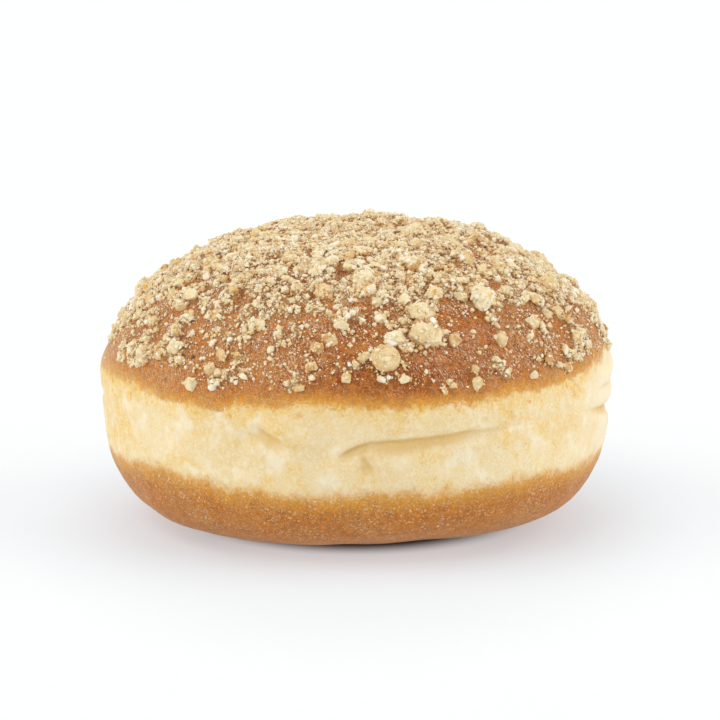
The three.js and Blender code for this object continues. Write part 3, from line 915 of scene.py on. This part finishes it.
# %% Crumbs, grains, fines, meal and dust
def strew(name, shape, count, least, most, loose, stuck, sunk, limit, **shaping):
    """Bits of one size, scattered and laid. The smaller lengths are the more common."""
    place = scattered(count - stuck, loose)
    length = least + (most - least) * rng.random(len(place[0]) + stuck) ** 1.5
    flat = rng.uniform(0.65, 1, len(length))
    laid.append(lay(name, shape, place, length, flat, sunk, limit, 0.9, FINE_WALNUT, stuck, **shaping))


strew("walnut_crumbs", ball("octahedron", 1), 5600, 0.7, 1.5, 0.06, 120, 0.42, 0.15, sharp=22, wear=12, jitter=0.2)
strew("walnut_grains", ball("icosahedron", 0), 9900, 0.45, 0.9, 0.2, 700, 0.35, 0.35, sharp=25, wear=9, jitter=0.25)
strew("walnut_fines", ball("octahedron", 0), 20000, 0.3, 0.58, 0.3, 1800, 0.3, 0.45, sharp=30, jitter=0.25, tone=0.6)
strew("walnut_meal", ball("octahedron", 0), 20000, 0.22, 0.4, 0.35, 1500, 0.25, 0.55, jitter=0.25, tone=0.66)
strew("walnut_dust", ball("octahedron", 0), 9000, 0.16, 0.28, 0.4, 500, 0.2, 0.6, jitter=0.25, tone=0.7)
place = scattered(60, 0.02)
length = rng.uniform(0.6, 1.4, len(place[0]))
flat = rng.uniform(0.12, 0.25, len(length))
lay("walnut_skins", ball("octahedron", 1), place, length, flat, 0.0, 0.6, 0.2, SKIN)
print("heap, mm: mean", round(float(heap[heap > 0].mean()), 2), "highest", round(float(heap.max()), 2))

# %% [markdown]
# ## Deep and raised bits
# In a heap of nuts the bits between the clusters lie deeper, where they soak up fat from the crust and go a warm
# brown. That brown is also painted shade, for the warm light that bounces between the bits. Only the finished heap
# knows how deep each point of each bit lies, so this mark is written last.

# %% How far each point stands above its surroundings
crest = levelled(heap, 7)
for piece, cell, above in laid:
    raised = np.ones(len(piece.data.vertices))
    raised[: above.size] = smooth(-0.5, 0.2, above - crest[tuple(cell.T)][:, None]).ravel()
    piece.data.attributes["raised"].data.foreach_set("value", raised.astype(np.float32))
    print(piece.name, "raised:", round(float(raised.mean()), 2))

# %% [markdown]
# ## Studio
# The photograph is high-key: a white sweep and large soft lights on both sides and above, so the sides are brighter
# than the middle of the front. A small key lamp gives the nuts their small shadows. The floor's shadows are painted
# into its glow: a dark line where the bun stands and a wide soft shadow in front. That shadow is neutral, so the
# glow is painted a little cooler near the bun to make up for the warm light off the crust.

# %% Floor, lights and camera
def white_sweep():
    """Matt white with hardly any unevenness, half of whose light is a glow, as from a lit sheet under it. The glow
    paints the shadows: it is left out where the bun stands, as a painted contact shadow, and a little less of it makes
    a painted wide soft shadow around it. Near the bun the glow is painted a little cooler."""
    material, tree, shader = new_material("white sweep", Roughness=0.7, Specular_IOR_Level=0.2)
    spot = node(tree, "ShaderNodeTexCoord").outputs["Object"]
    away = node(tree, "ShaderNodeVectorMath", operation="LENGTH")
    feed(tree, away.inputs[0], spot)
    color = mixed(tree, grain(tree, spot, 40.0), (0.475, 0.49, 0.50, 1), (0.485, 0.50, 0.51, 1))
    feed(tree, shader.inputs["Base Color"], color)
    long = node(tree, "ShaderNodeVectorMath", operation="MULTIPLY")
    feed(tree, long.inputs[0], spot)
    long.inputs[1].default_value = (1.7, 1, 1)
    ahead = node(tree, "ShaderNodeVectorMath", operation="LENGTH")
    feed(tree, ahead.inputs[0], long.outputs[0])
    # Painted shadows: no glow where the bun stands, then a little less of it in a wide ring, and full glow beyond.
    glow_with_painted_shadow = ramp(tree, away.outputs["Value"], 22 * MM, 31 * MM)
    glow_with_painted_shadow = calc(tree, "SUBTRACT", glow_with_painted_shadow, ramp(tree, ahead.outputs["Value"], 32 * MM, 50 * MM, 0.0, 0.13))
    glow_with_painted_shadow = calc(tree, "ADD", glow_with_painted_shadow, ramp(tree, ahead.outputs["Value"], 62 * MM, 110 * MM, 0.0, 0.13))
    # Painted cool light: the glow is a little bluer near the bun, against the warm light off the crust.
    far = ramp(tree, away.outputs["Value"], 50 * MM, 80 * MM)
    sheet = mixed(tree, far, (0.446, 0.47, 0.5, 1), (0.45, 0.46, 0.46, 1))
    feed(tree, shader.inputs["Emission Color"], mixed(tree, glow_with_painted_shadow, (0, 0, 0, 1), sheet))
    shader.inputs["Emission Strength"].default_value = 1
    return material


HALF, BELOW = 4000.0, -0.05  # half the floor's width, and its height, just under the foot
corners = np.array([(x * HALF, y * HALF, BELOW) for x, y in ((-1, -1), (1, -1), (1, 1), (-1, 1))])
floor = make_piece("floor", corners, np.array([(0, 1, 2), (0, 2, 3)]), white_sweep())

world = bpy.data.worlds.new("studio")
world.use_nodes = True
bpy.context.scene.world = world
sky = world.node_tree
direction = node(sky, "ShaderNodeSeparateXYZ")
feed(sky, direction.inputs[0], node(sky, "ShaderNodeTexCoord").outputs["Generated"])
sky.nodes["Background"].inputs["Color"].default_value = (1, 1, 1, 1)
feed(sky, sky.nodes["Background"].inputs["Strength"], ramp(sky, direction.outputs["Y"], -0.9, 0.1, 0.3, 0.7))

from mathutils import Vector


def soft_light(name, azimuth, elevation, strength, width):
    """A sun as wide as a studio panel looks: from an azimuth and elevation in degrees."""
    light = bpy.data.lights.new(name, "SUN")
    light.energy, light.angle = strength, math.radians(width)
    lamp = bpy.data.objects.new(name, light)
    a, e = math.radians(azimuth), math.radians(elevation)
    back = Vector((math.sin(a) * math.cos(e), -math.cos(a) * math.cos(e), math.sin(e)))
    lamp.rotation_euler = back.to_track_quat("Z", "Y").to_euler()
    bpy.context.collection.objects.link(lamp)


soft_light("left panel", -78, 34, 1.1, 60)
soft_light("right panel", 82, 29, 1.1, 60)
soft_light("front panel", 0, 20, 0.36, 60)
soft_light("top panel", 170, 82, 0.15, 60)
soft_light("key lamp", -28, 50, 0.22, 20)

TARGET, ELEVATION = Vector((0.59, 0, 27.87)) * MM, math.radians(11)
DISTANCE, FRAME_WIDTH = 0.7, 0.1266  # metres, the width being that of the picture at the target
SENSOR = 36
camera = bpy.data.objects.new("camera", bpy.data.cameras.new("camera"))
camera.data.sensor_width = SENSOR
camera.data.lens = SENSOR * DISTANCE / FRAME_WIDTH
camera.data.clip_end = 20
back = Vector((0, -math.cos(ELEVATION), math.sin(ELEVATION)))
camera.location = TARGET + back * DISTANCE
camera.rotation_euler = back.to_track_quat("Z", "Y").to_euler()
bpy.context.collection.objects.link(camera)
bpy.context.scene.camera = camera
bpy.context.scene.view_settings.view_transform = "Standard"
print("lens, mm:", round(camera.data.lens, 1))
